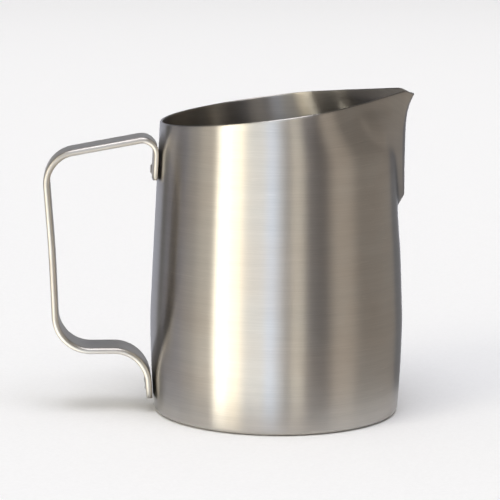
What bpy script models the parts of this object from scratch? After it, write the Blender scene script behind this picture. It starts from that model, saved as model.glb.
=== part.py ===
"""Milk frothing pitcher: a drawn steel cup with a pressed spout, and a strap handle spot-welded to it.

The origin is the centre of the base, on the cup's axis. +X points to the spout, the handle is at -X,
+Z is up, and the object is symmetric about y = 0.
"""

import math

import bmesh
import bpy
import numpy as np
from mathutils import Matrix, Vector

MM = 0.001

# Cup. The wall swells from the base to the belly, then tapers to the top.
BASE_RADIUS = 43.0 * MM
BELLY_RADIUS = 44.3 * MM
BELLY_HEIGHT = 33.0 * MM
TAPERED_RADIUS = 40.4 * MM
TAPERED_HEIGHT = 112.0 * MM
TAPER_POWER = 1.08
WALL = 0.9 * MM
BASE_FILLET = 1.8 * MM

# Rim. It climbs towards the spout, a little more steeply there, and the lip of the spout dips.
RIM_HEIGHT_ON_AXIS = 106.75 * MM
RIM_SLOPE = 0.131
RIM_CURVATURE = 0.15
LIP_DIP = 2.0 * MM
LIP_DIP_START = 43.0 * MM

# Spout. Each station: height, reach of the nose from the axis, nose radius, flank's direction in degrees.
SPOUT_STATIONS = (
    (70.0 * MM, 41.2 * MM, 6.0 * MM, 24.0),
    (73.6 * MM, 43.2 * MM, 7.0 * MM, 25.0),
    (76.6 * MM, 44.6 * MM, 8.0 * MM, 27.0),
    (85.0 * MM, 44.45 * MM, 14.0 * MM, 29.0),
    (98.0 * MM, 44.5 * MM, 17.0 * MM, 30.0),
    (103.5 * MM, 44.9 * MM, 12.0 * MM, 33.0),
    (107.5 * MM, 45.8 * MM, 8.5 * MM, 38.0),
    (111.4 * MM, 47.6 * MM, 5.0 * MM, 41.5),
)
CREASE_FILLET = 0.3 * MM
CREASE_FILLET_AT_RIM = 1.0 * MM
CREASE_FADE = 94.0 * MM

# The sheet is drawn in round the spout.
DRAW_IN = 0.5 * MM
DRAW_IN_HALF_ANGLE = math.radians(22.0)
DRAW_IN_LOW = 54.0 * MM
DRAW_IN_FULL = 71.0 * MM
DRAW_IN_FADE = 96.0 * MM
DRAW_IN_END = 106.0 * MM

# Towards the rim the mouth is pinched in on both sides of the spout, so that its plan is a teardrop.
PINCH = 4.6 * MM
PINCH_START = 90.0 * MM
PINCH_END = 112.0 * MM
PINCH_ANGLE = math.radians(42.0)
PINCH_SPREAD = math.radians(24.0)

# Mesh of the cup.
SPOUT_SECTOR = 36.0
SPOUT_STEP = 2.0
PINCH_SECTOR = 76.0
PINCH_STEP = 4.0
REST_STEP = 6.5
LEVEL_HEIGHTS = [h * MM for h in (10, 21, 33, 45, 56, 65, 70, 72, 73.6, 75.2, 76.6, 79, 85, 91, 97)]
RIM_SHARES = (0.3, 0.55, 0.78, 1.0)
FILLET_STEPS = 3
BASE_RING_SHARE = 0.6

# Strap handle: a flat bar with full-round edges, bent in the plane y = 0.
STRAP_WIDTH = 16.0 * MM
STRAP_THICKNESS = 2.3 * MM
UPPER_FOOT_THICKNESS = 1.7 * MM
GAP = 0.3 * MM
UPPER_FOOT_END = 81.8 * MM
LOWER_FOOT_END = 4.9 * MM
UPPER_FOOT_TOP = 90.0 * MM
LOWER_FOOT_TOP = 10.0 * MM
FOOT_CORNER = 1.5 * MM
FOOT_GRIND_LENGTH = 2.4 * MM
FOOT_GRIND_DEPTH = 0.2 * MM
UPPER_ARM_POINT = Vector((-57.0 * MM, 94.0 * MM))
UPPER_ARM_SLOPE = 0.183
LOWER_ARM_POINT = Vector((-60.0 * MM, 22.15 * MM))
LOWER_ARM_SLOPE = 0.0
GRIP_TOP = Vector((-80.8 * MM, 89.65 * MM))
GRIP_MIDDLE = Vector((-78.4 * MM, 57.0 * MM))
GRIP_BOTTOM = Vector((-77.0 * MM, 22.15 * MM))
BEND_AT_UPPER_FOOT = 4.2 * MM
BEND_AT_GRIP_TOP = 11.0 * MM
BEND_AT_GRIP_MIDDLE = 500.0 * MM
BEND_AT_GRIP_BOTTOM = 12.5 * MM
BEND_AT_LOWER_FOOT = 12.0 * MM
BEND_STEP = math.radians(11.0)
FOOT_STATIONS = [d * MM for d in (0.0, 0.2, 0.6, 1.1, 1.7, 2.6, 5.0)]
SADDLE_FADE = 7.0 * MM

# Share of the wall's curve that each foot follows. A flat foot would only touch it along the middle.
UPPER_SADDLE = 0.5
LOWER_SADDLE = 0.1
FLAT_SHARES = (-0.5, 0.0, 0.5)
EDGE_STEPS = 4

# Spot welds, in blind pockets on the inner faces of the feet.
NUGGET_RADIUS = 2.2 * MM
NUGGET_DEPTH = 0.8 * MM
UPPER_NUGGET_HEIGHT = 85.6 * MM
LOWER_NUGGET_HEIGHT = 9.5 * MM
NUGGET_SIDES = 20


def smoothstep(low, high, value):
    """0 below low, 1 above high, with a level start and end."""
    share = min(max((value - low) / (high - low), 0.0), 1.0)
    return share * share * (3.0 - 2.0 * share)


def curve_through(points, column, height):
    """Reads one column of the stations at a height, on a smooth curve that doesn't overshoot."""
    heights = [p[0] for p in points]
    values = [p[column] for p in points]
    height = min(max(height, heights[0]), heights[-1])
    i = min(int(np.searchsorted(heights, height, side="right")) - 1, len(points) - 2)
    steps = np.diff(values) / np.diff(heights)

    def slope(k):
        if k in (0, len(points) - 1):
            return steps[min(k, len(steps) - 1)]
        before, after = steps[k - 1], steps[k]
        return 0.0 if before * after <= 0 else 2.0 * before * after / (before + after)

    span = heights[i + 1] - heights[i]
    t = (height - heights[i]) / span
    start = (1 + 2 * t) * (1 - t) ** 2 * values[i] + t * (1 - t) ** 2 * span * slope(i)
    end = t * t * (3 - 2 * t) * values[i + 1] + t * t * (t - 1) * span * slope(i + 1)
    return start + end


def turned_radius(z):
    """Outer radius of the cup without its spout."""
    if z < BELLY_HEIGHT:
        share = (BELLY_HEIGHT - z) / BELLY_HEIGHT
        return BELLY_RADIUS - (BELLY_RADIUS - BASE_RADIUS) * share**2
    share = (z - BELLY_HEIGHT) / (TAPERED_HEIGHT - BELLY_HEIGHT)
    return BELLY_RADIUS - (BELLY_RADIUS - TAPERED_RADIUS) * share**TAPER_POWER


def spout_radius(angle, z):
    """Outer radius of the spout in plan: a round nose between two flat flanks."""
    reach, nose, flank = (curve_through(SPOUT_STATIONS, k, z) for k in (1, 2, 3))
    flank = math.radians(flank)
    centre = reach - nose
    flank_distance = centre * math.cos(flank) + nose
    touch = math.atan2(nose * math.sin(flank), centre + nose * math.cos(flank))
    angle = abs(angle)
    if angle < touch:
        return centre * math.cos(angle) + math.sqrt(nose**2 - (centre * math.sin(angle)) ** 2)
    if angle < flank:
        return flank_distance / math.cos(flank - angle)
    return flank_distance * math.cos(min(angle - flank, math.pi / 2))


def drawn_in(angle, z):
    """How far the cup's wall lies inside its turned shape."""
    rise = smoothstep(DRAW_IN_LOW, DRAW_IN_FULL, z)
    fade = 1.0 - smoothstep(DRAW_IN_FADE, DRAW_IN_END, z)
    dish = DRAW_IN * rise * fade * math.exp(-((angle / DRAW_IN_HALF_ANGLE) ** 2))
    beyond = max(abs(angle) - PINCH_ANGLE, 0.0) / PINCH_SPREAD
    return dish + PINCH * smoothstep(PINCH_START, PINCH_END, z) * math.exp(-(beyond**2))


def outer_radius(angle, z):
    """The larger of cup and spout, with the crease between them filleted."""
    cup = turned_radius(z) - drawn_in(angle, z)
    if z < SPOUT_STATIONS[0][0]:
        return cup
    spout = spout_radius(angle, z)
    fillet = CREASE_FILLET * smoothstep(SPOUT_STATIONS[0][0], SPOUT_STATIONS[1][0], z)
    fillet += (CREASE_FILLET_AT_RIM - CREASE_FILLET) * smoothstep(CREASE_FADE, PINCH_END, z)
    return 0.5 * (cup + spout + math.hypot(cup - spout, fillet))


def rim_height(angle):
    """Height of the rim at one angle, settled by repetition since the wall leans."""
    z = RIM_HEIGHT_ON_AXIS
    for _ in range(12):
        x = outer_radius(angle, z) * math.cos(angle)
        lip = smoothstep(LIP_DIP_START, SPOUT_STATIONS[-1][1], x)
        z = RIM_HEIGHT_ON_AXIS + RIM_SLOPE * x + RIM_CURVATURE * x**2 - LIP_DIP * lip
    return z


def column_angles():
    """Angles round the cup, closer together at the spout."""
    half = list(np.arange(0.0, SPOUT_SECTOR, SPOUT_STEP))
    half += list(np.arange(SPOUT_SECTOR, PINCH_SECTOR, PINCH_STEP))
    half += list(np.arange(PINCH_SECTOR, 180.0 + REST_STEP / 2, REST_STEP))
    return [math.radians(a) for a in half + [-a for a in half[-2:0:-1]]]


def shell_column(angle):
    """Points of the outer surface from the base's outer ring up to the rim."""
    points = []
    low_radius = turned_radius(BASE_FILLET)
    for step in range(FILLET_STEPS + 1):
        turn = math.pi / 2 * step / FILLET_STEPS
        radius = low_radius - BASE_FILLET * (1 - math.sin(turn))
        points.append((radius, BASE_FILLET * (1 - math.cos(turn))))
    points += [(outer_radius(angle, z), z) for z in LEVEL_HEIGHTS]
    top = rim_height(angle)
    for share in RIM_SHARES:
        z = LEVEL_HEIGHTS[-1] + share * (top - LEVEL_HEIGHTS[-1])
        points.append((outer_radius(angle, z), z))
    return [Vector((r * math.cos(angle), r * math.sin(angle), z)) for r, z in points]


def material(name, colour, roughness):
    made = bpy.data.materials.new(name)
    made.use_nodes = True
    shader = made.node_tree.nodes["Principled BSDF"]
    shader.inputs["Base Color"].default_value = (*colour, 1.0)
    shader.inputs["Metallic"].default_value = 1.0
    shader.inputs["Roughness"].default_value = roughness
    return made


def add_object(name, mesh_builder, finish):
    """One object from a bmesh, shaded smooth with its sharp edges kept."""
    mesh = bpy.data.meshes.new(name)
    mesh_builder.to_mesh(mesh)
    mesh_builder.free()
    mesh.shade_smooth()
    mesh.set_sharp_from_angle(angle=math.radians(35))
    made = bpy.data.objects.new(name, mesh)
    bpy.context.scene.collection.objects.link(made)
    if finish:
        mesh.materials.append(finish)
    return made


def clear_scene():
    for old in list(bpy.data.objects):
        bpy.data.objects.remove(old, do_unlink=True)


def make_shell():
    """The outer surface as a grid, thickened inwards to the wall."""
    builder = bmesh.new()
    columns = [[builder.verts.new(p) for p in shell_column(a)] for a in column_angles()]
    centre = builder.verts.new((0.0, 0.0, 0.0))
    middle = [builder.verts.new(c[0].co * BASE_RING_SHARE) for c in columns]
    for i, column in enumerate(columns):
        j = (i + 1) % len(columns)
        builder.faces.new((centre, middle[j], middle[i]))
        builder.faces.new((middle[i], middle[j], columns[j][0], column[0]))
        for k in range(len(column) - 1):
            builder.faces.new((column[k], columns[j][k], columns[j][k + 1], column[k + 1]))
    shell = add_object("body_shell", builder, material("brushed_shell", (0.56, 0.54, 0.51), 0.32))
    thicken = shell.modifiers.new("wall", "SOLIDIFY")
    thicken.thickness = WALL
    thicken.offset = -1.0
    thicken.use_even_offset = True
    thicken.use_rim = True
    return shell


def foot_centre(z):
    """Centreline of a foot, one gap outside the wall."""
    return Vector((-(turned_radius(z) + GAP + STRAP_THICKNESS / 2), z))


def foot_corner(end, top, arm_point, arm_slope):
    """Where the line of a foot, through its end and its top, meets the line of its arm."""
    low, high = foot_centre(end), foot_centre(top)
    lean = (high.x - low.x) / (high.y - low.y)
    z = arm_point.y + arm_slope * (low.x - lean * low.y - arm_point.x)
    z /= 1.0 - arm_slope * lean
    return Vector((low.x + lean * (z - low.y), z))


def strap_corners():
    """Corners of the strap's centreline in (x, z), each with its bend radius."""
    upper = foot_corner(UPPER_FOOT_END, UPPER_FOOT_TOP, UPPER_ARM_POINT, UPPER_ARM_SLOPE)
    lower = foot_corner(LOWER_FOOT_END, LOWER_FOOT_TOP, LOWER_ARM_POINT, LOWER_ARM_SLOPE)
    return [
        (foot_centre(UPPER_FOOT_END), 0.0),
        (upper, BEND_AT_UPPER_FOOT),
        (GRIP_TOP, BEND_AT_GRIP_TOP),
        (GRIP_MIDDLE, BEND_AT_GRIP_MIDDLE),
        (GRIP_BOTTOM, BEND_AT_GRIP_BOTTOM),
        (lower, BEND_AT_LOWER_FOOT),
        (foot_centre(LOWER_FOOT_END), 0.0),
    ]


def bend(before, corner, after, radius):
    """(point, tangent) pairs along the arc that rounds one corner."""
    back = (before - corner).normalized()
    ahead = (after - corner).normalized()
    turn = math.pi - back.angle(ahead)
    side = math.copysign(1.0, back.x * ahead.y - back.y * ahead.x)
    reach = radius * math.tan(turn / 2)
    centre = corner + (back + ahead).normalized() * radius / math.cos(turn / 2)
    start = corner + back * reach - centre
    steps = max(2, round(turn / BEND_STEP))
    stations = []
    for k in range(steps + 1):
        spin = Matrix.Rotation(-side * turn * k / steps, 2)
        stations.append((centre + spin @ start, spin @ -back))
    return stations


def strap_stations():
    """(point, tangent) pairs along the strap, closer together at the ends of the feet."""
    corners = strap_corners()
    points = [c[0] for c in corners]
    leave = (points[1] - points[0]).normalized()
    arrive = (points[-1] - points[-2]).normalized()
    stations = [(points[0] + leave * d, leave) for d in FOOT_STATIONS]
    for k in range(1, len(points) - 1):
        stations += bend(points[k - 1], points[k], points[k + 1], corners[k][1])
    stations += [(points[-1] - arrive * d, arrive) for d in reversed(FOOT_STATIONS)]
    return stations


def strap_section(half_width, low, high):
    """(y, offset) points of a flat bar with full-round edges, its faces at the offsets low and high."""
    edge = (high - low) / 2
    flat = half_width - edge
    middle = (high + low) / 2
    section = []
    for side in (1.0, -1.0):
        for k in range(EDGE_STEPS + 1):
            turn = math.pi * (k / EDGE_STEPS - 0.5)
            section.append((side * (flat + edge * math.cos(turn)), middle + side * edge * math.sin(turn)))
        section += [(-side * flat * share, middle + side * edge) for share in FLAT_SHARES]
    return section


def strap_ring(point, tangent, from_upper_end, from_lower_end):
    """The bar's outline at one station: ground at the ends, thinned and saddled to the wall at the feet."""
    from_end = min(from_upper_end, from_lower_end)
    corner = max(FOOT_CORNER - from_end, 0.0)
    half_width = STRAP_WIDTH / 2 - FOOT_CORNER + math.sqrt(FOOT_CORNER**2 - corner**2)
    half = STRAP_THICKNESS / 2
    ground = FOOT_GRIND_DEPTH * max(1.0 - from_end / FOOT_GRIND_LENGTH, 0.0)
    upper_length = UPPER_FOOT_TOP - UPPER_FOOT_END
    lower_length = LOWER_FOOT_TOP - LOWER_FOOT_END
    at_upper = 1.0 - smoothstep(upper_length, upper_length + SADDLE_FADE, from_upper_end)
    at_lower = 1.0 - smoothstep(lower_length, lower_length + SADDLE_FADE, from_lower_end)
    if from_upper_end < from_lower_end:
        low = -half + ground + (STRAP_THICKNESS - UPPER_FOOT_THICKNESS) * at_upper
        section = strap_section(half_width, low, half)
    else:
        section = strap_section(half_width, -half, half - ground)
    wall = turned_radius(point.y)
    side = Vector((tangent.y, -tangent.x))
    ring = []
    for y, offset in section:
        sag = (wall - math.sqrt(wall**2 - y**2)) * (UPPER_SADDLE * at_upper + LOWER_SADDLE * at_lower)
        ring.append(Vector((point.x + side.x * offset + sag, y, point.y + side.y * offset)))
    return ring


def make_strap():
    stations = strap_stations()
    lengths = [0.0]
    for (a, _), (b, _) in zip(stations, stations[1:]):
        lengths.append(lengths[-1] + (b - a).length)
    builder = bmesh.new()
    rings = []
    for (point, tangent), along in zip(stations, lengths):
        ring = strap_ring(point, tangent, along, lengths[-1] - along)
        rings.append([builder.verts.new(p) for p in ring])
    for ring, following in zip(rings, rings[1:]):
        for k in range(len(ring)):
            j = (k + 1) % len(ring)
            builder.faces.new((ring[k], ring[j], following[j], following[k]))
    for end, order in ((rings[0], 1), (rings[-1], -1)):
        middle = builder.verts.new(sum((v.co for v in end), Vector()) / len(end))
        for k in range(len(end)):
            builder.faces.new((middle, *(end[k], end[(k + 1) % len(end)])[::-order]))
    bmesh.ops.recalc_face_normals(builder, faces=builder.faces)
    strap = add_object("handle_strap", builder, material("brushed_strap", (0.62, 0.60, 0.56), 0.28))
    for name, height in (("upper", UPPER_NUGGET_HEIGHT), ("lower", LOWER_NUGGET_HEIGHT)):
        radius = NUGGET_RADIUS + GAP
        cutter = make_plug(name + "_pocket_cutter", height, radius, -GAP, NUGGET_DEPTH + GAP, None)
        cutter.hide_render = True
        cutter.display_type = "WIRE"
        pocket = strap.modifiers.new(name + "_pocket", "BOOLEAN")
        pocket.operation = "DIFFERENCE"
        pocket.solver = "EXACT"
        pocket.object = cutter
    return strap


def make_plug(name, height, radius, start, end, finish):
    """A short cylinder square to the wall, between two depths from a foot's inner face."""
    above, below = foot_centre(height + MM), foot_centre(height - MM)
    out = Vector((below.y - above.y, 0.0, above.x - below.x)).normalized()
    face = Vector((-(turned_radius(height) + GAP), 0.0, height))
    builder = bmesh.new()
    turned = out.to_track_quat("Z", "Y").to_matrix().to_4x4()
    place = Matrix.Translation(face + out * (start + end) / 2) @ turned
    bmesh.ops.create_cone(
        builder,
        cap_ends=True,
        segments=NUGGET_SIDES,
        radius1=radius,
        radius2=radius,
        depth=end - start,
        matrix=place,
    )
    return add_object(name, builder, finish)


def make_nuggets():
    for name, height in (("upper", UPPER_NUGGET_HEIGHT), ("lower", LOWER_NUGGET_HEIGHT)):
        finish = material(name + "_weld", (0.50, 0.48, 0.46), 0.5)
        make_plug(name + "_weld_nugget", height, NUGGET_RADIUS, 0.0, NUGGET_DEPTH, finish)


clear_scene()
make_shell()
make_strap()
make_nuggets()
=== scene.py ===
"""Milk frothing pitcher, visual model: the finely finished cup and strap handle, in brushed steel.

Everything is in metres in the CAD frame: the origin is the centre of the base, +X points to the spout, the
handle is at -X and +Z is up. The shapes repeat the CAD formulas on a much finer mesh.
"""

import math

import bmesh
import bpy
import numpy as np
from mathutils import Matrix, Vector


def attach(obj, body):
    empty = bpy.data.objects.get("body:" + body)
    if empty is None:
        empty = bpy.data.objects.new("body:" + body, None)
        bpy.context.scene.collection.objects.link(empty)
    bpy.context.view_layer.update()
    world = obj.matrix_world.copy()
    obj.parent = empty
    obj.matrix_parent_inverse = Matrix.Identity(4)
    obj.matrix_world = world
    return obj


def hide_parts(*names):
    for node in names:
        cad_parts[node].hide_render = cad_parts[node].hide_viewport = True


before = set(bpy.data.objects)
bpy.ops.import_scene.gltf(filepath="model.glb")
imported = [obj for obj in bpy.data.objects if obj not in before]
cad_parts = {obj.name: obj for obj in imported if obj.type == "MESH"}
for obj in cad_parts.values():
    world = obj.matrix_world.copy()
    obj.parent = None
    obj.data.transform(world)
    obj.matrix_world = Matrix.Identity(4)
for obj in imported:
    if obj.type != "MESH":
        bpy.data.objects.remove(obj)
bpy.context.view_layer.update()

MM = 0.001

# Cup: a turned wall.
BASE_RADIUS = 43.0 * MM
BELLY_RADIUS = 44.3 * MM
BELLY_HEIGHT = 33.0 * MM
TAPERED_RADIUS = 40.4 * MM
TAPERED_HEIGHT = 112.0 * MM
TAPER_POWER = 1.08
WALL = 0.9 * MM
BASE_FILLET = 1.8 * MM

# Rim: its height along the x axis is a parabola, lowered a little at the tip of the lip.
RIM_HEIGHT_ON_AXIS = 106.75 * MM
RIM_SLOPE = 0.131
RIM_CURVATURE = 0.15
LIP_DIP = 2.0 * MM
LIP_DIP_START = 43.0 * MM
RIM_PASSES = 12

# Spout. Each station: height, reach of the nose from the axis, nose radius, flank's direction in degrees.
SPOUT_STATIONS = (
    (70.0 * MM, 41.2 * MM, 6.0 * MM, 24.0),
    (73.6 * MM, 43.2 * MM, 7.0 * MM, 25.0),
    (76.6 * MM, 44.6 * MM, 8.0 * MM, 27.0),
    (85.0 * MM, 44.45 * MM, 14.0 * MM, 29.0),
    (98.0 * MM, 44.5 * MM, 17.0 * MM, 30.0),
    (103.5 * MM, 44.9 * MM, 12.0 * MM, 33.0),
    (107.5 * MM, 45.8 * MM, 8.5 * MM, 38.0),
    (111.4 * MM, 47.6 * MM, 5.0 * MM, 41.5),
)
CREASE_FILLET = 0.3 * MM
CREASE_FILLET_AT_RIM = 1.0 * MM
CREASE_FADE = 94.0 * MM

# A painted shade line along the crease, darkening the colour where the spout rises this far over the turned
# wall. It fades upwards.
CREASE_SHADE_RISE = -0.05 * MM
CREASE_SHADE_WIDTH = 0.55 * MM
CREASE_SHADE_FADE = 76.0 * MM
CREASE_SHADE_END = 100.0 * MM

# The sheet is drawn in round the spout, and pinched in towards the rim.
DRAW_IN = 0.5 * MM
DRAW_IN_HALF_ANGLE = math.radians(22.0)
DRAW_IN_LOW = 54.0 * MM
DRAW_IN_FULL = 71.0 * MM
DRAW_IN_FADE = 96.0 * MM
DRAW_IN_END = 106.0 * MM
PINCH = 4.6 * MM
PINCH_START = 90.0 * MM
PINCH_END = 112.0 * MM
PINCH_ANGLE = math.radians(42.0)
PINCH_SPREAD = math.radians(24.0)

# The fine mesh stays this far inside the CAD's faceted outline.
CUP_INSET = 0.02 * MM
STRAP_INSET = 0.04 * MM

# Mesh of the cup. Sector and steps are in degrees, and each of WALL_STEPS is from, to and number of rows.
SPOUT_SECTOR = 44.0
SPOUT_STEP = 0.4
REST_STEP = 2.0
BASE_RINGS = 10
FILLET_STEPS = 8
RIM_EDGE_STEPS = 8
WALL_STEPS = ((BASE_FILLET, 66.0 * MM, 44), (66.0 * MM, 80.0 * MM, 28), (80.0 * MM, 96.0 * MM, 14))
TOP_ROWS = 16

# Where handling has rubbed the cup: width of the line at the rim, share and width at the base's corner.
RIM_POLISH = 0.9 * MM
CORNER_WEAR = 0.4
CORNER_WIDTH = 1.2 * MM

# Strap handle. Points are (x, z) on its centreline, and each bend is a radius.
STRAP_WIDTH = 16.0 * MM
STRAP_THICKNESS = 2.3 * MM
UPPER_FOOT_THICKNESS = 1.7 * MM
GAP = 0.3 * MM
UPPER_FOOT_END = 81.8 * MM
LOWER_FOOT_END = 4.9 * MM
UPPER_FOOT_TOP = 90.0 * MM
LOWER_FOOT_TOP = 10.0 * MM
FOOT_CORNER = 1.5 * MM
FOOT_GRIND_LENGTH = 2.4 * MM
FOOT_GRIND_DEPTH = 0.2 * MM
UPPER_ARM_POINT = Vector((-57.0 * MM, 94.0 * MM))
UPPER_ARM_SLOPE = 0.183
LOWER_ARM_POINT = Vector((-60.0 * MM, 22.15 * MM))
LOWER_ARM_SLOPE = 0.0
GRIP_TOP = Vector((-80.8 * MM, 89.65 * MM))
GRIP_MIDDLE = Vector((-78.4 * MM, 57.0 * MM))
GRIP_BOTTOM = Vector((-77.0 * MM, 22.15 * MM))
BEND_AT_UPPER_FOOT = 4.2 * MM
BEND_AT_GRIP_TOP = 11.0 * MM
BEND_AT_GRIP_MIDDLE = 500.0 * MM
BEND_AT_GRIP_BOTTOM = 12.5 * MM
BEND_AT_LOWER_FOOT = 12.0 * MM
SADDLE_FADE = 7.0 * MM
UPPER_SADDLE = 0.5
LOWER_SADDLE = 0.1

# Electrode marks on the outer faces of the feet. Each of LIP_LUMPS is a share, a count round and a phase.
UPPER_MARK_HEIGHT = 85.0 * MM
UPPER_RING_RADIUS = 1.2 * MM
UPPER_RING_HEIGHT = 0.5 * MM
LOWER_DENT_RADIUS = 2.0 * MM
LOWER_DENT_DEPTH = 0.35 * MM
LOWER_DENT_STEEPNESS = 2.0
LOWER_LIP_HEIGHT = 0.22 * MM
LIP_LUMPS = ((0.45, 3.0, 0.6), (0.25, 7.0, 0.0))
MARK_SOFTNESS = 0.45 * MM

# Distance from a foot's end over which its grinding marks fade.
GROUND_ZONE = (0.6 * MM, 3.4 * MM)

# Mesh of the strap.
STRAP_STEP = 0.8 * MM
FOOT_STEP = 0.25 * MM
FOOT_LENGTH = 9.0 * MM
FLAT_POINTS = 40
EDGE_STEPS = 12
SHARP_ANGLE = math.radians(50.0)

# Spot welds. Each pocket is turned a little, so that its corners stay off the mesh lines of the strap.
NUGGET_RADIUS = 2.2 * MM
NUGGET_DEPTH = 0.8 * MM
UPPER_NUGGET_HEIGHT = 85.6 * MM
LOWER_NUGGET_HEIGHT = 9.5 * MM
POCKET_SIDES = 48
POCKET_TURN = math.radians(1.7)

# Steel of the cup and of the strap.
SHELL_COLOUR = (0.56, 0.54, 0.51)
SHELL_ROUGHNESS = 0.32
SHELL_ANISOTROPY = 1.0
SHELL_STREAK = 13.0 * MM
STRAP_COLOUR = (0.62, 0.60, 0.56)
STRAP_ROUGHNESS = 0.34
STRAP_ANISOTROPY = 0.6
STRAP_STREAK = 14.0 * MM

# Size of the brushing. A band is a broad streak, and a scratch is a single brighter line.
BRUSH_LINE = 0.28 * MM
BRUSH_BAND = 2.6 * MM
BAND_LENGTHENING = 4.0
SCRATCH_SHORTENING = 1.7
SCRATCH_WIDENING = 0.6
HAZE_SIZE = 24.0 * MM
BRUSHED_ACROSS = 0.25

# Levels of noise between which each effect goes from none to full.
NOISE_RANGE = (0.3, 0.7)
SCRATCH_RANGE = (0.66, 0.74)
HAZE_RANGE = (0.35, 0.65)
HAZE_GLOSS_RANGE = (0.45, 0.7)

# Strength of each effect, on the steel's brightness, roughness and relief.
HAZE_TINT = (0.575, 0.54, 0.50)
STREAK_CONTRAST = 0.045
BAND_CONTRAST = 0.025
SCRATCH_BRIGHTNESS = 0.06
POLISH_BRIGHTNESS = 0.08
GROUND_DARKENING = -0.30
# Painted shade beside the spout's crease darkens the colour by this much.
CREASE_DARKENING = -0.6
ROUGHNESS_SWING = 0.035
HAZE_ROUGHNESS = 0.035
POLISH_ROUGHNESS = 0.05
GROUND_ROUGHNESS = 0.14
SCRATCH_RELIEF = -0.8
BUMP_STRENGTH = 0.2
BUMP_DEPTH = 0.012 * MM

# Weld metal, from its dark hollows to its bright lumps.
WELD_TINTS = ((0.3, (0.20, 0.17, 0.15)), (0.5, (0.42, 0.36, 0.30)), (0.7, (0.55, 0.54, 0.55)))
WELD_LUMPS_PER_METRE = 1600.0
WELD_ROUGHNESS = (0.35, 0.6)
WELD_BUMP_STRENGTH = 0.6
WELD_BUMP_DEPTH = 0.1 * MM

# Studio panels round the pitcher: start and end azimuth from the camera's side in degrees, then the colour.
PANELS = (
    (-178, -141, (0.47, 0.485, 0.55)),
    (-137, -132, (0.15, 0.145, 0.13)),
    (-125, -100, (0.30, 0.30, 0.34)),
    (-90, -84, (0.43, 0.41, 0.39)),
    (-75, -61, (0.74, 0.69, 0.61)),
    (-58, -50, (3.5, 3.35, 2.85)),
    (-44, -37, (2.45, 2.25, 1.8)),
    (-28, -12, (1.28, 1.31, 1.30)),
    (-9, -4, (1.17, 1.36, 1.66)),
    (3, 3, (0.78, 0.83, 0.90)),
    (10.5, 10.5, (0.22, 0.205, 0.19)),
    (17, 23, (0.86, 0.80, 0.68)),
    (30, 46, (0.15, 0.14, 0.145)),
    (58, 72, (0.675, 0.60, 0.52)),
    (84, 135, (0.38, 0.345, 0.31)),
    (141, 160, (0.21, 0.21, 0.22)),
    (171, 178, (0.62, 0.64, 0.71)),
)

# The window among the panels: where it starts and ends, in degrees. It stays bright up to WINDOW_TOP.
# Heights are the z of a unit direction. Each pair is where a change starts and where it is complete.
WINDOW_START = (-60.0, -57.0)
WINDOW_END = (-38.0, -30.0)
WINDOW_TOP = (0.6, 0.8)
DIM_BAND = (-0.05, 0.6)
DIM_SHARE = 0.25

# The pale table below, brightest on the window's side, and the softbox overhead.
TABLE_BAND = (-0.75, -0.12)
TABLE_COLOUR = (1.3, 1.2, 1.04)
TABLE_FADE = (-0.95, -0.45)
TABLE_SHARE_BELOW = 0.25
TABLE_SIDE = Vector((-0.7, -0.7, 0.0)).normalized()
TABLE_SIDE_BAND = (-0.3, 0.75)
TABLE_SHARE_BEHIND = 0.06
SOFTBOX_DIRECTION = Vector((0.0, -0.24, 0.97)).normalized()
SOFTBOX_EDGE = (0.92, 0.95)
SOFTBOX_COLOUR = (3.2, 3.2, 3.4)

# The light over the floor, and the floor: a near disc, a far sweep and a curved backdrop.
OVERHEAD_SIZE = 7.0
OVERHEAD_HEIGHT = 3.0
OVERHEAD_POWER = 97.0
FLOOR_LEVEL = -0.1 * MM
FLOOR_CENTRE = 0.1 * MM
FLOOR_NEAR = 63.0 * MM
FLOOR_RADIUS = 4.0
FLOOR_SIDES = 96
COVE_RADIUS = 1.0
COVE_START = 0.1
COVE_STEPS = 12
BACKDROP_HEIGHT = 4.0
PAPER_TINTS = ((0.3, (0.87, 0.87, 0.87)), (0.7, (0.90, 0.90, 0.90)))
PAPER_GRAIN_PER_METRE = 900.0
PAPER_ROUGHNESS = 0.9

# Camera: its place round the object, then how far it turns away from the point it is aimed at.
CAMERA_TARGET = Vector((0.0, 0.0, 47.0 * MM))
CAMERA_AZIMUTH = math.radians(-5.0)
CAMERA_ELEVATION = 0.17547
CAMERA_DISTANCE = 0.76541
CAMERA_PAN = math.radians(0.704)
CAMERA_TILT = math.radians(0.676)
CAMERA_ROLL = math.radians(0.552)
CAMERA_LENS = 156.95
CAMERA_SENSOR = 36.0


def smoothstep(low, high, value):
    """0 below low, 1 above high, with a level start and end."""
    share = min(max((value - low) / (high - low), 0.0), 1.0)
    return share * share * (3.0 - 2.0 * share)


def curve_through(points, column, height):
    """Reads one column of the stations at a height, on a smooth curve that doesn't overshoot."""
    heights = [p[0] for p in points]
    values = [p[column] for p in points]
    height = min(max(height, heights[0]), heights[-1])
    i = 0
    while i < len(points) - 2 and heights[i + 1] <= height:
        i += 1
    steps = [(values[k + 1] - values[k]) / (heights[k + 1] - heights[k]) for k in range(len(points) - 1)]

    def slope(k):
        if k in (0, len(points) - 1):
            return steps[min(k, len(steps) - 1)]
        before, after = steps[k - 1], steps[k]
        return 0.0 if before * after <= 0 else 2.0 * before * after / (before + after)

    span = heights[i + 1] - heights[i]
    t = (height - heights[i]) / span
    start = (1 + 2 * t) * (1 - t) ** 2 * values[i] + t * (1 - t) ** 2 * span * slope(i)
    end = t * t * (3 - 2 * t) * values[i + 1] + t * t * (t - 1) * span * slope(i + 1)
    return start + end


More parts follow.
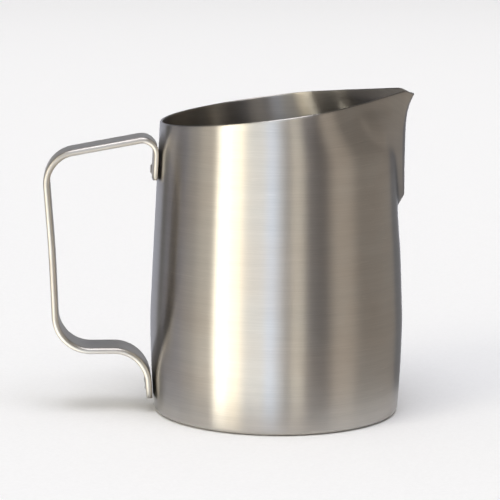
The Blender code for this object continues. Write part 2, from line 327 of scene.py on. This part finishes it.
def turned_radius(z):
    """Outer radius of the cup without its spout."""
    if z < BELLY_HEIGHT:
        share = (BELLY_HEIGHT - z) / BELLY_HEIGHT
        return BELLY_RADIUS - (BELLY_RADIUS - BASE_RADIUS) * share**2
    share = (z - BELLY_HEIGHT) / (TAPERED_HEIGHT - BELLY_HEIGHT)
    return BELLY_RADIUS - (BELLY_RADIUS - TAPERED_RADIUS) * share**TAPER_POWER


def spout_radius(angle, z):
    """Outer radius of the spout in plan: a round nose between two flat flanks."""
    reach, nose, flank = (curve_through(SPOUT_STATIONS, k, z) for k in (1, 2, 3))
    flank = math.radians(flank)
    centre = reach - nose
    flank_distance = centre * math.cos(flank) + nose
    touch = math.atan2(nose * math.sin(flank), centre + nose * math.cos(flank))
    angle = abs(angle)
    if angle < touch:
        return centre * math.cos(angle) + math.sqrt(nose**2 - (centre * math.sin(angle)) ** 2)
    if angle < flank:
        return flank_distance / math.cos(flank - angle)
    return flank_distance * math.cos(min(angle - flank, math.pi / 2))


def drawn_in(angle, z):
    """How far the cup's wall lies inside its turned shape."""
    rise = smoothstep(DRAW_IN_LOW, DRAW_IN_FULL, z)
    fade = 1.0 - smoothstep(DRAW_IN_FADE, DRAW_IN_END, z)
    dish = DRAW_IN * rise * fade * math.exp(-((angle / DRAW_IN_HALF_ANGLE) ** 2))
    beyond = max(abs(angle) - PINCH_ANGLE, 0.0) / PINCH_SPREAD
    return dish + PINCH * smoothstep(PINCH_START, PINCH_END, z) * math.exp(-(beyond**2))


def outer_radius(angle, z):
    """The larger of cup and spout, with the crease between them filleted."""
    cup = turned_radius(z) - drawn_in(angle, z)
    if z < SPOUT_STATIONS[0][0]:
        return cup
    spout = spout_radius(angle, z)
    fillet = CREASE_FILLET * smoothstep(SPOUT_STATIONS[0][0], SPOUT_STATIONS[1][0], z)
    fillet += (CREASE_FILLET_AT_RIM - CREASE_FILLET) * smoothstep(CREASE_FADE, PINCH_END, z)
    return 0.5 * (cup + spout + math.hypot(cup - spout, fillet))


def crease_shade(angle, z):
    """How much painted shade falls at one point beside the spout's crease: a dark line in the colour that
    stands in for the crease shading itself.
    """
    if z < SPOUT_STATIONS[0][0]:
        return 0.0
    rise = spout_radius(angle, z) - turned_radius(z) + drawn_in(angle, z)
    fade = 1.0 - smoothstep(CREASE_SHADE_FADE, CREASE_SHADE_END, z)
    return fade * math.exp(-(((rise - CREASE_SHADE_RISE) / CREASE_SHADE_WIDTH) ** 2))


def rim_height(angle):
    """Height of the rim at one angle, settled by repetition since the wall leans."""
    z = RIM_HEIGHT_ON_AXIS
    for _ in range(RIM_PASSES):
        x = outer_radius(angle, z) * math.cos(angle)
        lip = smoothstep(LIP_DIP_START, SPOUT_STATIONS[-1][1], x)
        z = RIM_HEIGHT_ON_AXIS + RIM_SLOPE * x + RIM_CURVATURE * x**2 - LIP_DIP * lip
    return z


def column_angles():
    """Angles round the cup from -180 to 180 degrees, closer together at the spout. Both ends are there."""
    half = list(np.arange(0.0, SPOUT_SECTOR, SPOUT_STEP))
    half += list(np.linspace(SPOUT_SECTOR, 180.0, round((180.0 - SPOUT_SECTOR) / REST_STEP) + 1))
    return [math.radians(a) for a in [-a for a in half[:0:-1]] + half]


def outer_column(angle):
    """Points of the outer surface, from a small ring under the base up to where the rim's edge starts."""
    low_radius = turned_radius(BASE_FILLET)
    flat_radius = low_radius - BASE_FILLET
    points = [(flat_radius * (k + 1) / BASE_RINGS, 0.0) for k in range(BASE_RINGS - 1)]
    for step in range(FILLET_STEPS + 1):
        turn = math.pi / 2 * step / FILLET_STEPS
        points.append((flat_radius + BASE_FILLET * math.sin(turn), BASE_FILLET * (1 - math.cos(turn))))
    for low, high, count in WALL_STEPS:
        heights = [low + (high - low) * (k + 1) / count for k in range(count)]
        points += [(outer_radius(angle, z), z) for z in heights]
    low, high = WALL_STEPS[-1][1], rim_height(angle) - WALL / 2 - CUP_INSET
    for k in range(TOP_ROWS):
        z = low + (high - low) * (k + 1) / TOP_ROWS
        points.append((outer_radius(angle, z), z))
    inset = 1.0 - CUP_INSET / BELLY_RADIUS
    return [(inset * r * math.cos(angle), inset * r * math.sin(angle), z) for r, z in points]


def unit(vectors):
    """The vectors at length 1."""
    return vectors / np.linalg.norm(vectors, axis=-1, keepdims=True)


def cup_grid():
    """(points, distances up the profile): the cup's whole skin as columns of points, outside then inside."""
    outer = np.array([outer_column(a) for a in column_angles()])
    round_step = np.empty_like(outer)
    round_step[1:-1] = outer[2:] - outer[:-2]
    round_step[0] = round_step[-1] = outer[1] - outer[-2]
    up_step = np.gradient(outer, axis=1)
    normals = unit(np.cross(round_step, up_step))
    top, out = outer[:, -1], normals[:, -1]
    up = unit(np.cross(out, round_step[:, -1]))
    centre = top - out * WALL / 2
    turns = math.pi * np.arange(1, RIM_EDGE_STEPS) / RIM_EDGE_STEPS
    edge = [centre + WALL / 2 * (math.cos(t) * out + math.sin(t) * up) for t in turns]
    inner = (outer - WALL * normals)[:, ::-1]
    grid = np.concatenate([outer, np.stack(edge, axis=1), inner], axis=1)
    lengths = np.linalg.norm(np.diff(grid[0], axis=0), axis=1)
    along = np.concatenate([[0.0], np.cumsum(lengths)])
    return grid, along


def new_mesh(name, builder):
    """A smooth-shaded object from a finished bmesh, linked to the scene."""
    mesh = bpy.data.meshes.new(name)
    builder.to_mesh(mesh)
    builder.free()
    mesh.shade_smooth()
    made = bpy.data.objects.new(name, mesh)
    bpy.context.scene.collection.objects.link(made)
    return made


def rubbed_rows(along):
    """How much each row of the cup's skin is rubbed bright, at the rim and at the corner of the base."""
    crown = along[(len(along) - 1) // 2]
    corner = along[BASE_RINGS - 2 + FILLET_STEPS // 2]
    at_rim = np.exp(-(((along - crown) / RIM_POLISH) ** 2))
    return at_rim + CORNER_WEAR * np.exp(-(((along - corner) / CORNER_WIDTH) ** 2))


def make_cup():
    """The drawn shell. Its texture coordinates run round the cup, and up the outside and down the inside."""
    grid, along = cup_grid()
    angles = column_angles()
    rubbed = rubbed_rows(along)
    count, rows = grid.shape[0] - 1, grid.shape[1]
    builder = bmesh.new()
    layer = builder.loops.layers.uv.new("brushing")
    polish = builder.verts.layers.float.new("polish")
    crease = builder.verts.layers.float.new("crease")
    verts = [[builder.verts.new(p) for p in column] for column in grid[:-1]]
    for column, angle in zip(verts, angles):
        for vert, value in zip(column, rubbed):
            vert[polish] = value
        for vert in column[:(rows - 1) // 2]:
            # Painted shade beside the spout's crease, stored on the outer vertices.
            vert[crease] = crease_shade(angle, vert.co.z)
    under = builder.verts.new((0.0, 0.0, 0.0))
    inside = builder.verts.new((0.0, 0.0, WALL))
    girth = 2 * math.pi * BELLY_RADIUS
    shares = [a / (2 * math.pi) + 0.5 for a in angles]

    def face(corners):
        made = builder.faces.new([corner[0] for corner in corners])
        for loop, (_, u, v) in zip(made.loops, corners):
            loop[layer].uv = (u * girth, v)

    for i in range(count):
        j = (i + 1) % count
        left, right = shares[i], shares[i + 1]
        for k in range(rows - 1):
            low, high = along[k], along[k + 1]
            face(((verts[i][k], left, low), (verts[j][k], right, low),
                  (verts[j][k + 1], right, high), (verts[i][k + 1], left, high)))
        low, high = along[0], along[-1]
        face(((under, left, low), (verts[j][0], right, low), (verts[i][0], left, low)))
        face(((inside, left, high), (verts[i][-1], left, high), (verts[j][-1], right, high)))
    return new_mesh("cup", builder)


def foot_centre(z):
    """Centreline of a foot, one gap outside the wall."""
    return Vector((-(turned_radius(z) + GAP + STRAP_THICKNESS / 2), z))


def foot_corner(end, top, arm_point, arm_slope):
    """Where the line of a foot, through its end and its top, meets the line of its arm."""
    low, high = foot_centre(end), foot_centre(top)
    lean = (high.x - low.x) / (high.y - low.y)
    z = arm_point.y + arm_slope * (low.x - lean * low.y - arm_point.x)
    z /= 1.0 - arm_slope * lean
    return Vector((low.x + lean * (z - low.y), z))


def strap_corners():
    """Corners of the strap's centreline in (x, z), each with its bend radius."""
    upper = foot_corner(UPPER_FOOT_END, UPPER_FOOT_TOP, UPPER_ARM_POINT, UPPER_ARM_SLOPE)
    lower = foot_corner(LOWER_FOOT_END, LOWER_FOOT_TOP, LOWER_ARM_POINT, LOWER_ARM_SLOPE)
    return [
        (foot_centre(UPPER_FOOT_END), 0.0),
        (upper, BEND_AT_UPPER_FOOT),
        (GRIP_TOP, BEND_AT_GRIP_TOP),
        (GRIP_MIDDLE, BEND_AT_GRIP_MIDDLE),
        (GRIP_BOTTOM, BEND_AT_GRIP_BOTTOM),
        (lower, BEND_AT_LOWER_FOOT),
        (foot_centre(LOWER_FOOT_END), 0.0),
    ]


def strap_pieces():
    """The centreline as straight and round pieces: (length, function from a distance to (point, tangent))."""
    corners = strap_corners()
    points = [c[0] for c in corners]
    pieces = []
    start = points[0]

    def straight(a, b):
        run = b - a
        heading = run.normalized()
        return run.length, lambda d: (a + heading * d, heading)

    def arc(centre, arm, heading, radius, side, turn):
        def at(d):
            spin = Matrix.Rotation(-side * d / radius, 2)
            return centre + spin @ arm, spin @ heading
        return radius * turn, at

    for k in range(1, len(points) - 1):
        back = (points[k - 1] - points[k]).normalized()
        ahead = (points[k + 1] - points[k]).normalized()
        radius = corners[k][1]
        turn = math.pi - back.angle(ahead)
        side = math.copysign(1.0, back.x * ahead.y - back.y * ahead.x)
        reach = radius * math.tan(turn / 2)
        centre = points[k] + (back + ahead).normalized() * radius / math.cos(turn / 2)
        begin = points[k] + back * reach
        pieces.append(straight(start, begin))
        pieces.append(arc(centre, begin - centre, -back, radius, side, turn))
        start = points[k] + ahead * reach
    pieces.append(straight(start, points[-1]))
    return pieces


def strap_stations():
    """(point, tangent, distance) along the strap, closer together at the feet."""
    pieces = strap_pieces()
    total = sum(length for length, _ in pieces)
    distances = list(np.arange(0.0, FOOT_LENGTH, FOOT_STEP))
    middle = total - 2 * FOOT_LENGTH
    distances += list(np.linspace(FOOT_LENGTH, FOOT_LENGTH + middle, round(middle / STRAP_STEP)))
    distances += list(total - np.arange(0.0, FOOT_LENGTH, FOOT_STEP)[::-1])
    stations = []
    for distance in distances:
        rest = distance
        for length, at in pieces:
            if rest <= length or at is pieces[-1][1]:
                stations.append((*at(rest), distance))
                break
            rest -= length
    return stations, total


def strap_section(half_width, low, high):
    """(y, offset, polish, face) points of a flat bar with round edges. face is 1 or -1 on a flat face."""
    edge = (high - low) / 2
    flat = half_width - edge
    middle = (high + low) / 2
    section = []
    for side in (1.0, -1.0):
        for k in range(EDGE_STEPS + 1):
            turn = math.pi * (k / EDGE_STEPS - 0.5)
            place = (side * (flat + edge * math.cos(turn)), middle + side * edge * math.sin(turn))
            section.append((*place, math.cos(turn), 0.0))
        for k in range(1, FLAT_POINTS):
            section.append((side * flat * (1 - 2 * k / FLAT_POINTS), middle + side * edge, 0.0, side))
    return section


def weld_mark(y, z):
    """How far the outer face stands out at the electrode marks: a burr ring above, a lumpy dent below."""
    upper, lower = math.hypot(y, z - UPPER_MARK_HEIGHT), math.hypot(y, z - LOWER_NUGGET_HEIGHT)
    ring = UPPER_RING_HEIGHT * math.exp(-(((upper - UPPER_RING_RADIUS) / MARK_SOFTNESS) ** 2))
    around = math.atan2(z - LOWER_NUGGET_HEIGHT, y)
    lumps = 1.0 + sum(share * math.sin(count * around + phase) for share, count, phase in LIP_LUMPS)
    lip = LOWER_LIP_HEIGHT * lumps * math.exp(-(((lower - LOWER_DENT_RADIUS) / MARK_SOFTNESS) ** 2))
    dent = LOWER_DENT_DEPTH * math.exp(-((lower / LOWER_DENT_RADIUS) ** 2) * LOWER_DENT_STEEPNESS)
    return ring + lip - dent


def strap_ring(point, tangent, from_upper_end, from_lower_end):
    """(place, polish, grinding) of the bar's outline at one station, as in the CAD.

    The bar is ground at its ends, and thinned and saddled at its feet.
    """
    from_end = min(from_upper_end, from_lower_end)
    corner = max(FOOT_CORNER - from_end, 0.0)
    half_width = STRAP_WIDTH / 2 - FOOT_CORNER + math.sqrt(FOOT_CORNER**2 - corner**2)
    half = STRAP_THICKNESS / 2 - STRAP_INSET
    ground = FOOT_GRIND_DEPTH * max(1.0 - from_end / FOOT_GRIND_LENGTH, 0.0)
    upper_length = UPPER_FOOT_TOP - UPPER_FOOT_END
    lower_length = LOWER_FOOT_TOP - LOWER_FOOT_END
    at_upper = 1.0 - smoothstep(upper_length, upper_length + SADDLE_FADE, from_upper_end)
    at_lower = 1.0 - smoothstep(lower_length, lower_length + SADDLE_FADE, from_lower_end)
    if from_upper_end < from_lower_end:
        low = -half + ground + (STRAP_THICKNESS - UPPER_FOOT_THICKNESS) * at_upper
        section = strap_section(half_width, low, half)
    else:
        section = strap_section(half_width, -half, half - ground)
    wall = turned_radius(point.y)
    across = Vector((tangent.y, -tangent.x))
    worn_end = 1.0 - smoothstep(*GROUND_ZONE, from_end)
    outer = -1.0 if from_upper_end < from_lower_end else 1.0
    ring = []
    for y, offset, polish, face in section:
        sag = (wall - math.sqrt(wall**2 - y**2)) * (UPPER_SADDLE * at_upper + LOWER_SADDLE * at_lower)
        if face == outer and from_end < FOOT_LENGTH:
            offset += outer * weld_mark(y, point.y)
        place = Vector((point.x + across.x * offset + sag, y, point.y + across.y * offset))
        ring.append((place, polish * (1.0 - worn_end), worn_end))
    return ring


def cut_pocket(handle, height):
    """Cuts the blind pocket that a weld nugget sits in, one gap larger all round."""
    above, below = foot_centre(height + MM), foot_centre(height - MM)
    out = Vector((below.y - above.y, 0.0, above.x - below.x)).normalized()
    face = Vector((-(turned_radius(height) + GAP), 0.0, height))
    start, end = -GAP, NUGGET_DEPTH + GAP
    turned = out.to_track_quat("Z", "Y").to_matrix().to_4x4()
    turned = turned @ Matrix.Rotation(POCKET_TURN, 4, "Z")
    builder = bmesh.new()
    bmesh.ops.create_cone(
        builder,
        cap_ends=True,
        segments=POCKET_SIDES,
        radius1=NUGGET_RADIUS + GAP,
        radius2=NUGGET_RADIUS + GAP,
        depth=end - start,
        matrix=Matrix.Translation(face + out * (start + end) / 2) @ turned,
    )
    cutter = new_mesh("pocket_cutter", builder)
    pocket = handle.modifiers.new("pocket", "BOOLEAN")
    pocket.operation = "DIFFERENCE"
    pocket.solver = "EXACT"
    pocket.object = cutter
    graph = bpy.context.evaluated_depsgraph_get()
    cut = bpy.data.meshes.new_from_object(handle.evaluated_get(graph))
    handle.modifiers.clear()
    handle.data = cut
    bpy.data.objects.remove(cutter)


def make_handle():
    """The strap. Its texture coordinates run along the strap, and round its outline."""
    stations, total = strap_stations()
    builder = bmesh.new()
    layer = builder.loops.layers.uv.new("brushing")
    polish = builder.verts.layers.float.new("polish")
    ground = builder.verts.layers.float.new("ground")
    rings, shares = [], []
    for point, tangent, along in stations:
        ring = []
        for place, rubbed, worn in strap_ring(point, tangent, along, total - along):
            vert = builder.verts.new(place)
            vert[polish], vert[ground] = rubbed, worn
            ring.append(vert)
        rings.append(ring)
        steps = [(b.co - a.co).length for a, b in zip(ring, ring[1:] + ring[:1])]
        shares.append(np.concatenate([[0.0], np.cumsum(steps)]))
    count = len(rings[0])
    for i in range(len(rings) - 1):
        u, following_u = stations[i][2], stations[i + 1][2]
        for k in range(count):
            j = (k + 1) % count
            face = builder.faces.new((rings[i][k], rings[i][j], rings[i + 1][j], rings[i + 1][k]))
            corners = ((u, shares[i][k]), (u, shares[i][k + 1]),
                       (following_u, shares[i + 1][k + 1]), (following_u, shares[i + 1][k]))
            for loop, uv in zip(face.loops, corners):
                loop[layer].uv = uv
    for ring, u in ((rings[0], 0.0), (rings[-1], total)):
        middle = builder.verts.new(sum((v.co for v in ring), Vector()) / count)
        middle[ground] = 1.0
        for k in range(count):
            face = builder.faces.new((middle, ring[k], ring[(k + 1) % count]))
            for loop in face.loops:
                loop[layer].uv = (u, loop.vert.co.y)
    bmesh.ops.recalc_face_normals(builder, faces=builder.faces)
    handle = new_mesh("handle", builder)
    for height in (UPPER_NUGGET_HEIGHT, LOWER_NUGGET_HEIGHT):
        cut_pocket(handle, height)
    handle.data.set_sharp_from_angle(angle=SHARP_ANGLE)
    return handle


def add_node(tree, kind, settings=(), **sockets):
    """A node with its settings and its sockets' values, which may be other nodes' outputs.

    A socket is given by its name, with _ for a space, or by _ and its number.
    """
    node = tree.nodes.new("ShaderNode" + kind)
    for name, value in settings:
        setattr(node, name, value)
    for name, value in sockets.items():
        socket = node.inputs[int(name[1:]) if name[0] == "_" else name.replace("_", " ")]
        if isinstance(value, bpy.types.NodeSocket):
            tree.links.new(value, socket)
        else:
            socket.default_value = value
    return node


def math_node(tree, operation, *values):
    """A Math node's result."""
    settings = (("operation", operation),)
    return add_node(tree, "Math", settings, **{f"_{k}": v for k, v in enumerate(values)}).outputs[0]


def ramp_node(tree, value, stops):
    """Maps a value from 0 to 1 to colours. Each stop is (position, colour), and 32 stops are the most."""
    node = add_node(tree, "ValToRGB", _0=value)
    elements = node.color_ramp.elements
    colours = [(position, (*colour, 1.0)) for position, colour in sorted(stops)]
    elements[0].position, elements[0].color = colours[0]
    elements[1].position, elements[1].color = colours[-1]
    for position, colour in colours[1:-1]:
        elements.new(position).color = colour
    return node.outputs["Color"]


def between(tree, value, low, high, from_value=0.0, to_value=1.0):
    """A smooth step from from_value to to_value as the value goes from low to high."""
    sockets = {"Value": value, "From_Min": low, "From_Max": high, "To_Min": from_value, "To_Max": to_value}
    return add_node(tree, "MapRange", (("interpolation_type", "SMOOTHSTEP"),), **sockets).outputs[0]


def mix_colour(tree, blend, factor, first, second):
    """A Mix node's colour result. Its sockets 0, 6 and 7 are the factor and the two colours."""
    settings = (("data_type", "RGBA"), ("blend_type", blend))
    return add_node(tree, "Mix", settings, _0=factor, _6=first, _7=second).outputs[2]


def painted(tree, name):
    """A value stored at the mesh's vertices."""
    return add_node(tree, "Attribute", (("attribute_name", name),)).outputs["Fac"]


def dot_product(tree, direction, axis):
    """How nearly a direction follows an axis: 1 along it, -1 against it."""
    node = add_node(tree, "VectorMath", (("operation", "DOT_PRODUCT"),), _0=direction, _1=axis)
    return node.outputs["Value"]


def streaks(tree, where, stretch, seed, detail=2.0, roughness=0.55):
    """Noise with a scale of its own along each of its three coordinates, which are in metres."""
    place = add_node(tree, "Mapping", _0=where, Location=(seed, seed, seed), Scale=stretch).outputs[0]
    return add_node(tree, "TexNoise", Vector=place, Scale=1.0, Detail=detail, Roughness=roughness).outputs[0]


def round_coordinates(tree):
    """Coordinates for brushing round the cup's axis: slow in x and y, quick in height plus radius."""
    where = add_node(tree, "TexCoord").outputs["Object"]
    split = add_node(tree, "SeparateXYZ", _0=where).outputs
    flat = add_node(tree, "CombineXYZ", X=split["X"], Y=split["Y"]).outputs[0]
    radius = add_node(tree, "VectorMath", (("operation", "LENGTH"),), _0=flat).outputs["Value"]
    across = math_node(tree, "ADD", split["Z"], radius)
    return add_node(tree, "CombineXYZ", X=split["X"], Y=across, Z=split["Y"]).outputs[0]


def strap_coordinates(tree):
    """Coordinates for brushing along the strap: slow along it, quick round its outline."""
    return add_node(tree, "UVMap", (("uv_map", "brushing"),)).outputs[0]


def steel(name, coordinates, colour, roughness, anisotropy, streak_length):
    """Brushed stainless steel: streaks, single scratches and haze from handling in its colour and gloss."""
    made = bpy.data.materials.new(name)
    made.use_nodes = True
    tree = made.node_tree
    shader = tree.nodes["Principled BSDF"]
    where = coordinates(tree)
    slow, quick = 1.0 / streak_length, 1.0 / BRUSH_LINE
    slow_band, quick_band = slow / BAND_LENGTHENING, 1.0 / BRUSH_BAND
    slow_scratch, quick_scratch = slow * SCRATCH_SHORTENING, quick * SCRATCH_WIDENING
    haze_scale = 1.0 / HAZE_SIZE
    fine = streaks(tree, where, (slow, quick, slow), seed=3.1, detail=3.0, roughness=0.7)
    broad = streaks(tree, where, (slow_band, quick_band, slow_band), seed=7.7)
    haze = streaks(tree, where, (haze_scale, haze_scale, haze_scale), seed=1.3, detail=3.0)
    lines = streaks(tree, where, (slow_scratch, quick_scratch, slow_scratch), seed=5.2, detail=1.0)
    scratch = between(tree, lines, *SCRATCH_RANGE)
    polish, ground, crease = (painted(tree, layer) for layer in ("polish", "ground", "crease"))

    tint = between(tree, fine, *NOISE_RANGE, 1.0 - STREAK_CONTRAST, 1.0 + STREAK_CONTRAST)
    band = between(tree, broad, *NOISE_RANGE, 1.0 - BAND_CONTRAST, 1.0 + BAND_CONTRAST)
    level = math_node(tree, "MULTIPLY", tint, band)
    level = math_node(tree, "MULTIPLY_ADD", scratch, SCRATCH_BRIGHTNESS, level)
    level = math_node(tree, "MULTIPLY_ADD", polish, POLISH_BRIGHTNESS, level)
    level = math_node(tree, "MULTIPLY_ADD", ground, GROUND_DARKENING, level)
    # Painted shade along the spout's crease darkens the colour here.
    level = math_node(tree, "MULTIPLY_ADD", crease, CREASE_DARKENING, level)
    grey = add_node(tree, "CombineColor", _0=level, _1=level, _2=level).outputs[0]
    hazy = between(tree, haze, *HAZE_RANGE)
    warm = mix_colour(tree, "MIX", hazy, (*colour, 1.0), (*HAZE_TINT, 1.0))
    tree.links.new(mix_colour(tree, "MULTIPLY", 1.0, warm, grey), shader.inputs["Base Color"])

    dull_haze = between(tree, haze, *HAZE_GLOSS_RANGE)
    rough = between(tree, fine, *NOISE_RANGE, roughness - ROUGHNESS_SWING, roughness + ROUGHNESS_SWING)
    rough = math_node(tree, "MULTIPLY_ADD", dull_haze, HAZE_ROUGHNESS, rough)
    rough = math_node(tree, "MULTIPLY_ADD", polish, POLISH_ROUGHNESS, rough)
    rough = math_node(tree, "MULTIPLY_ADD", ground, GROUND_ROUGHNESS, rough)
    tree.links.new(rough, shader.inputs["Roughness"])

    height = math_node(tree, "MULTIPLY_ADD", scratch, SCRATCH_RELIEF, fine)
    relief = {"Strength": BUMP_STRENGTH, "Distance": BUMP_DEPTH, "Height": height}
    tree.links.new(add_node(tree, "Bump", **relief).outputs[0], shader.inputs["Normal"])
    shader.inputs["Metallic"].default_value = 1.0
    shader.inputs["Anisotropic"].default_value = anisotropy
    shader.inputs["Anisotropic Rotation"].default_value = BRUSHED_ACROSS
    tangent = add_node(tree, "Tangent", (("direction_type", "UV_MAP"), ("uv_map", "brushing")))
    tree.links.new(tangent.outputs[0], shader.inputs["Tangent"])
    return made


def weld_metal():
    """Remelted steel: dark, mottled and lumpy, with heat tint."""
    made = bpy.data.materials.new("weld_metal")
    made.use_nodes = True
    tree = made.node_tree
    shader = tree.nodes["Principled BSDF"]
    where = add_node(tree, "TexCoord").outputs["Object"]
    lumps = streaks(tree, where, (WELD_LUMPS_PER_METRE,) * 3, seed=2.0, detail=4.0)
    tree.links.new(ramp_node(tree, lumps, WELD_TINTS), shader.inputs["Base Color"])
    tree.links.new(between(tree, lumps, *NOISE_RANGE, *WELD_ROUGHNESS), shader.inputs["Roughness"])
    relief = {"Strength": WELD_BUMP_STRENGTH, "Distance": WELD_BUMP_DEPTH, "Height": lumps}
    tree.links.new(add_node(tree, "Bump", **relief).outputs[0], shader.inputs["Normal"])
    shader.inputs["Metallic"].default_value = 1.0
    return made


def paper():
    """Matt white paper with a faint grain."""
    made = bpy.data.materials.new("paper")
    made.use_nodes = True
    tree = made.node_tree
    shader = tree.nodes["Principled BSDF"]
    where = add_node(tree, "TexCoord").outputs["Object"]
    grain = streaks(tree, where, (PAPER_GRAIN_PER_METRE,) * 3, seed=0.5, detail=3.0)
    tree.links.new(ramp_node(tree, grain, PAPER_TINTS), shader.inputs["Base Color"])
    shader.inputs["Roughness"].default_value = PAPER_ROUGHNESS
    shader.inputs["Specular IOR Level"].default_value = 0.0
    return made


def stage_surface(name, profile, material):
    """A profile of (radius, z) turned round the z axis, as part of the floor."""
    builder = bmesh.new()
    rings = []
    for radius, z in profile:
        ring = []
        for k in range(FLOOR_SIDES):
            turn = 2 * math.pi * k / FLOOR_SIDES
            ring.append(builder.verts.new((radius * math.cos(turn), radius * math.sin(turn), z)))
        rings.append(ring)
    for low, high in zip(rings, rings[1:]):
        for k in range(FLOOR_SIDES):
            j = (k + 1) % FLOOR_SIDES
            builder.faces.new((low[k], low[j], high[j], high[k]))
    made = new_mesh(name, builder)
    made.data.materials.append(material)
    return made


def make_floor():
    """A pale seamless sweep. Steel close to it mirrors only the disc under the pitcher."""
    material = paper()
    stage_surface("floor_near", ((FLOOR_CENTRE, FLOOR_LEVEL), (FLOOR_NEAR, FLOOR_LEVEL)), material)
    sweep = [(FLOOR_NEAR, FLOOR_LEVEL), (FLOOR_RADIUS, FLOOR_LEVEL)]
    for turn in np.linspace(COVE_START, math.pi / 2, COVE_STEPS):
        radius = FLOOR_RADIUS + COVE_RADIUS * math.sin(turn)
        sweep.append((radius, COVE_RADIUS * (1.0 - math.cos(turn))))
    sweep.append((FLOOR_RADIUS + COVE_RADIUS, BACKDROP_HEIGHT))
    far = stage_surface("floor_far", sweep, material)
    far.visible_glossy = False
    far.visible_diffuse = False
    far.visible_shadow = False


def ramp_position(turn):
    """Place on the panels' colour ramp of an azimuth in degrees from the camera's side."""
    return (turn + math.degrees(CAMERA_AZIMUTH) + 180.0) % 360.0 / 360.0


def panel_light(tree, split):
    """The upright panels by azimuth. They dim upwards, except for the window."""
    towards = math_node(tree, "MULTIPLY", split["Y"], -1.0)
    azimuth = math_node(tree, "ARCTAN2", split["X"], towards)
    share = math_node(tree, "MULTIPLY_ADD", azimuth, 1 / (2 * math.pi), 0.5)
    stops = {(ramp_position(turn), colour) for start, end, colour in PANELS for turn in (start, end)}
    panels = ramp_node(tree, share, stops)
    started = between(tree, share, *(ramp_position(turn) for turn in WINDOW_START))
    ended = between(tree, share, *(ramp_position(turn) for turn in WINDOW_END), 1.0, 0.0)
    window = math_node(tree, "MULTIPLY", started, ended)
    window = math_node(tree, "MULTIPLY", window, between(tree, split["Z"], *WINDOW_TOP, 1.0, 0.0))
    dim = math_node(tree, "MAXIMUM", window, between(tree, split["Z"], *DIM_BAND, 1.0, DIM_SHARE))
    grey = add_node(tree, "CombineColor", _0=dim, _1=dim, _2=dim).outputs[0]
    return mix_colour(tree, "MULTIPLY", 1.0, panels, grey)


def table_share(tree, direction, split):
    """How much of the table's glow comes from each direction below the horizon."""
    below = between(tree, split["Z"], *TABLE_BAND, 1.0, 0.0)
    side = between(tree, dot_product(tree, direction, TABLE_SIDE), *TABLE_SIDE_BAND, TABLE_SHARE_BEHIND, 1.0)
    steep = between(tree, split["Z"], *TABLE_FADE, TABLE_SHARE_BELOW, 1.0)
    return math_node(tree, "MULTIPLY", below, math_node(tree, "MULTIPLY", side, steep))


def tent_light():
    """The studio's tent: upright panels, dimmer above, a pale table below and a softbox overhead."""
    world = bpy.data.worlds.new("studio")
    bpy.context.scene.world = world
    world.use_nodes = True
    tree = world.node_tree
    direction = add_node(tree, "TexCoord").outputs["Generated"]
    split = add_node(tree, "SeparateXYZ", _0=direction).outputs
    table = table_share(tree, direction, split)
    softbox = between(tree, dot_product(tree, direction, SOFTBOX_DIRECTION), *SOFTBOX_EDGE)
    light = panel_light(tree, split)
    light = mix_colour(tree, "ADD", table, light, (*TABLE_COLOUR, 1.0))
    light = mix_colour(tree, "ADD", softbox, light, (*SOFTBOX_COLOUR, 1.0))
    tree.links.new(light, tree.nodes["Background"].inputs["Color"])


def floor_light():
    """A wide soft light above, seen only by the floor, so that it is pale with a soft contact shadow."""
    data = bpy.data.lights.new("overhead", "AREA")
    data.shape = "SQUARE"
    data.size = OVERHEAD_SIZE
    data.energy = OVERHEAD_POWER
    overhead = bpy.data.objects.new("overhead", data)
    overhead.location = (0.0, 0.0, OVERHEAD_HEIGHT)
    overhead.visible_glossy = False
    overhead.visible_camera = False
    bpy.context.scene.collection.objects.link(overhead)


def make_camera():
    """The camera, above the rim's height and a little to the handle's side of straight ahead."""
    right = Vector((math.cos(CAMERA_AZIMUTH), math.sin(CAMERA_AZIMUTH), 0.0))
    back = Vector((
        math.sin(CAMERA_AZIMUTH) * math.cos(CAMERA_ELEVATION),
        -math.cos(CAMERA_AZIMUTH) * math.cos(CAMERA_ELEVATION),
        math.sin(CAMERA_ELEVATION),
    ))
    up = back.cross(right)
    place = CAMERA_TARGET + CAMERA_DISTANCE * back
    data = bpy.data.cameras.new("camera")
    data.lens = CAMERA_LENS
    data.sensor_width = CAMERA_SENSOR
    camera = bpy.data.objects.new("camera", data)
    bpy.context.scene.collection.objects.link(camera)
    forward = -back
    # Pan and tilt turn the camera a little away from its target, and roll turns the picture.
    forward, right = (
        forward * math.cos(CAMERA_PAN) - right * math.sin(CAMERA_PAN),
        right * math.cos(CAMERA_PAN) + forward * math.sin(CAMERA_PAN),
    )
    forward, up = (
        forward * math.cos(CAMERA_TILT) + up * math.sin(CAMERA_TILT),
        up * math.cos(CAMERA_TILT) - forward * math.sin(CAMERA_TILT),
    )
    right, up = (
        right * math.cos(CAMERA_ROLL) + up * math.sin(CAMERA_ROLL),
        up * math.cos(CAMERA_ROLL) - right * math.sin(CAMERA_ROLL),
    )
    turned = Matrix((right, up, -forward)).transposed().to_4x4()
    camera.matrix_world = Matrix.Translation(place) @ turned
    bpy.context.scene.camera = camera


bpy.context.scene.view_settings.view_transform = "Standard"
make_camera()
tent_light()
floor_light()
make_floor()

shell_steel = steel(
    "brushed_shell", round_coordinates, SHELL_COLOUR, SHELL_ROUGHNESS, SHELL_ANISOTROPY, SHELL_STREAK
)
strap_steel = steel(
    "brushed_strap", strap_coordinates, STRAP_COLOUR, STRAP_ROUGHNESS, STRAP_ANISOTROPY, STRAP_STREAK
)

cup = make_cup()
cup.data.materials.append(shell_steel)
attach(cup, "root")
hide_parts("body_shell")

handle = make_handle()
handle.data.materials.append(strap_steel)
for node in ("upper_weld_nugget", "lower_weld_nugget"):
    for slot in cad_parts[node].material_slots:
        slot.material = weld_metal()
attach(handle, "root")
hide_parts("handle_strap")
